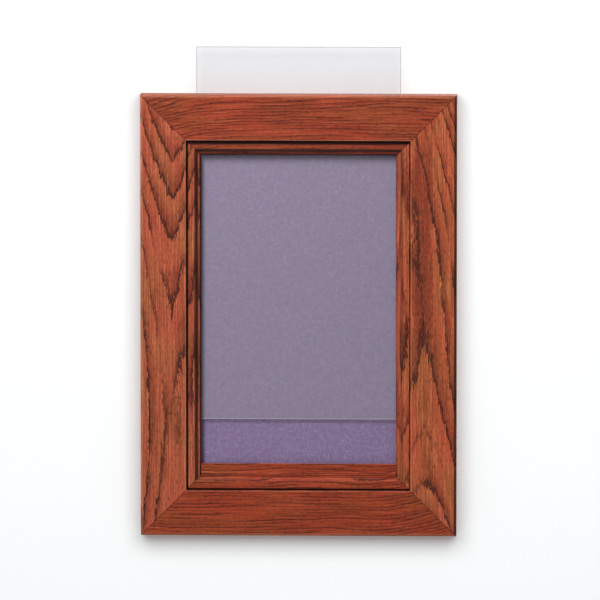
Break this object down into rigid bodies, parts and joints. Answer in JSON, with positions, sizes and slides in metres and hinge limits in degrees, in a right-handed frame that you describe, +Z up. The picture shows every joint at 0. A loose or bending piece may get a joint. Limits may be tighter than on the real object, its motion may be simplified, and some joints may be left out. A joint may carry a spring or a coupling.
{
  "type": "slide-in sign frame",
  "caption": "Wall-hung wooden sign frame with mitred mouldings, a fabric tack panel and a clear cover sheet that slides in from the top, partly raised.",
  "frame": {"origin": "midway between the entry holes of the two keyhole plates, on the wall plane behind the frame", "axes": "+X to the viewer's right, +Y back into the wall, +Z up; the face looks along -Y"},
  "size_m": [0.334, 0.0254, 0.5185],
  "materials": {
    "stained_oak": "satin red-brown stain over open-pored oak",
    "clear_acrylic": "clear, fine matte non-glare",
    "tack_fabric": "heathered plum weave",
    "fibreboard": "soft grey-tan fibreboard",
    "hardboard": "smooth dark hardboard",
    "plated_steel": "zinc plated"
  },
  "bodies": {
    "frame": {"top_rail": "stained_oak", "bottom_rail": "stained_oak", "left_stile": "stained_oak", "right_stile": "stained_oak", "slot_backer": "stained_oak", "backer_screws": "plated_steel", "corner_nails": "plated_steel", "fabric_facing": "tack_fabric", "tack_core": "fibreboard", "backing_panel": "hardboard", "button_screws": "plated_steel", "left_keyhole_plate": "plated_steel", "right_keyhole_plate": "plated_steel", "plate_screws": "plated_steel"},
    "sheet": {"cover_sheet": "clear_acrylic"},
    "left_upper_button": {"turn_button_left_upper": "plated_steel"},
    "left_lower_button": {"turn_button_left_lower": "plated_steel"},
    "right_upper_button": {"turn_button_right_upper": "plated_steel"},
    "right_lower_button": {"turn_button_right_lower": "plated_steel"},
    "top_button": {"turn_button_top": "plated_steel"},
    "bottom_button": {"turn_button_bottom": "plated_steel"}
  },
  "joints": [
    {"name": "sheet_slide", "type": "slide", "parent": "frame", "child": "sheet", "axis": [0, 0, 1], "range_m": [-0.05, 0.3]},
    {"name": "left_upper_button_turn", "type": "hinge", "parent": "frame", "child": "left_upper_button", "pos_m": [-0.1207, -0.0023, -0.059], "axis": [0, 1, 0], "range_deg": [-90, 90]},
    {"name": "left_lower_button_turn", "type": "hinge", "parent": "frame", "child": "left_lower_button", "pos_m": [-0.1207, -0.0023, -0.229], "axis": [0, 1, 0], "range_deg": [-90, 90]},
    {"name": "right_upper_button_turn", "type": "hinge", "parent": "frame", "child": "right_upper_button", "pos_m": [0.1207, -0.0023, -0.059], "axis": [0, 1, 0], "range_deg": [-90, 90]},
    {"name": "right_lower_button_turn", "type": "hinge", "parent": "frame", "child": "right_lower_button", "pos_m": [0.1207, -0.0023, -0.229], "axis": [0, 1, 0], "range_deg": [-90, 90]},
    {"name": "top_button_turn", "type": "hinge", "parent": "frame", "child": "top_button", "pos_m": [0, -0.0023, 0.0437], "axis": [0, 1, 0], "range_deg": [-90, 90]},
    {"name": "bottom_button_turn", "type": "hinge", "parent": "frame", "child": "bottom_button", "pos_m": [0, -0.0023, -0.3317], "axis": [0, 1, 0], "range_deg": [-90, 90]}
  ]
}
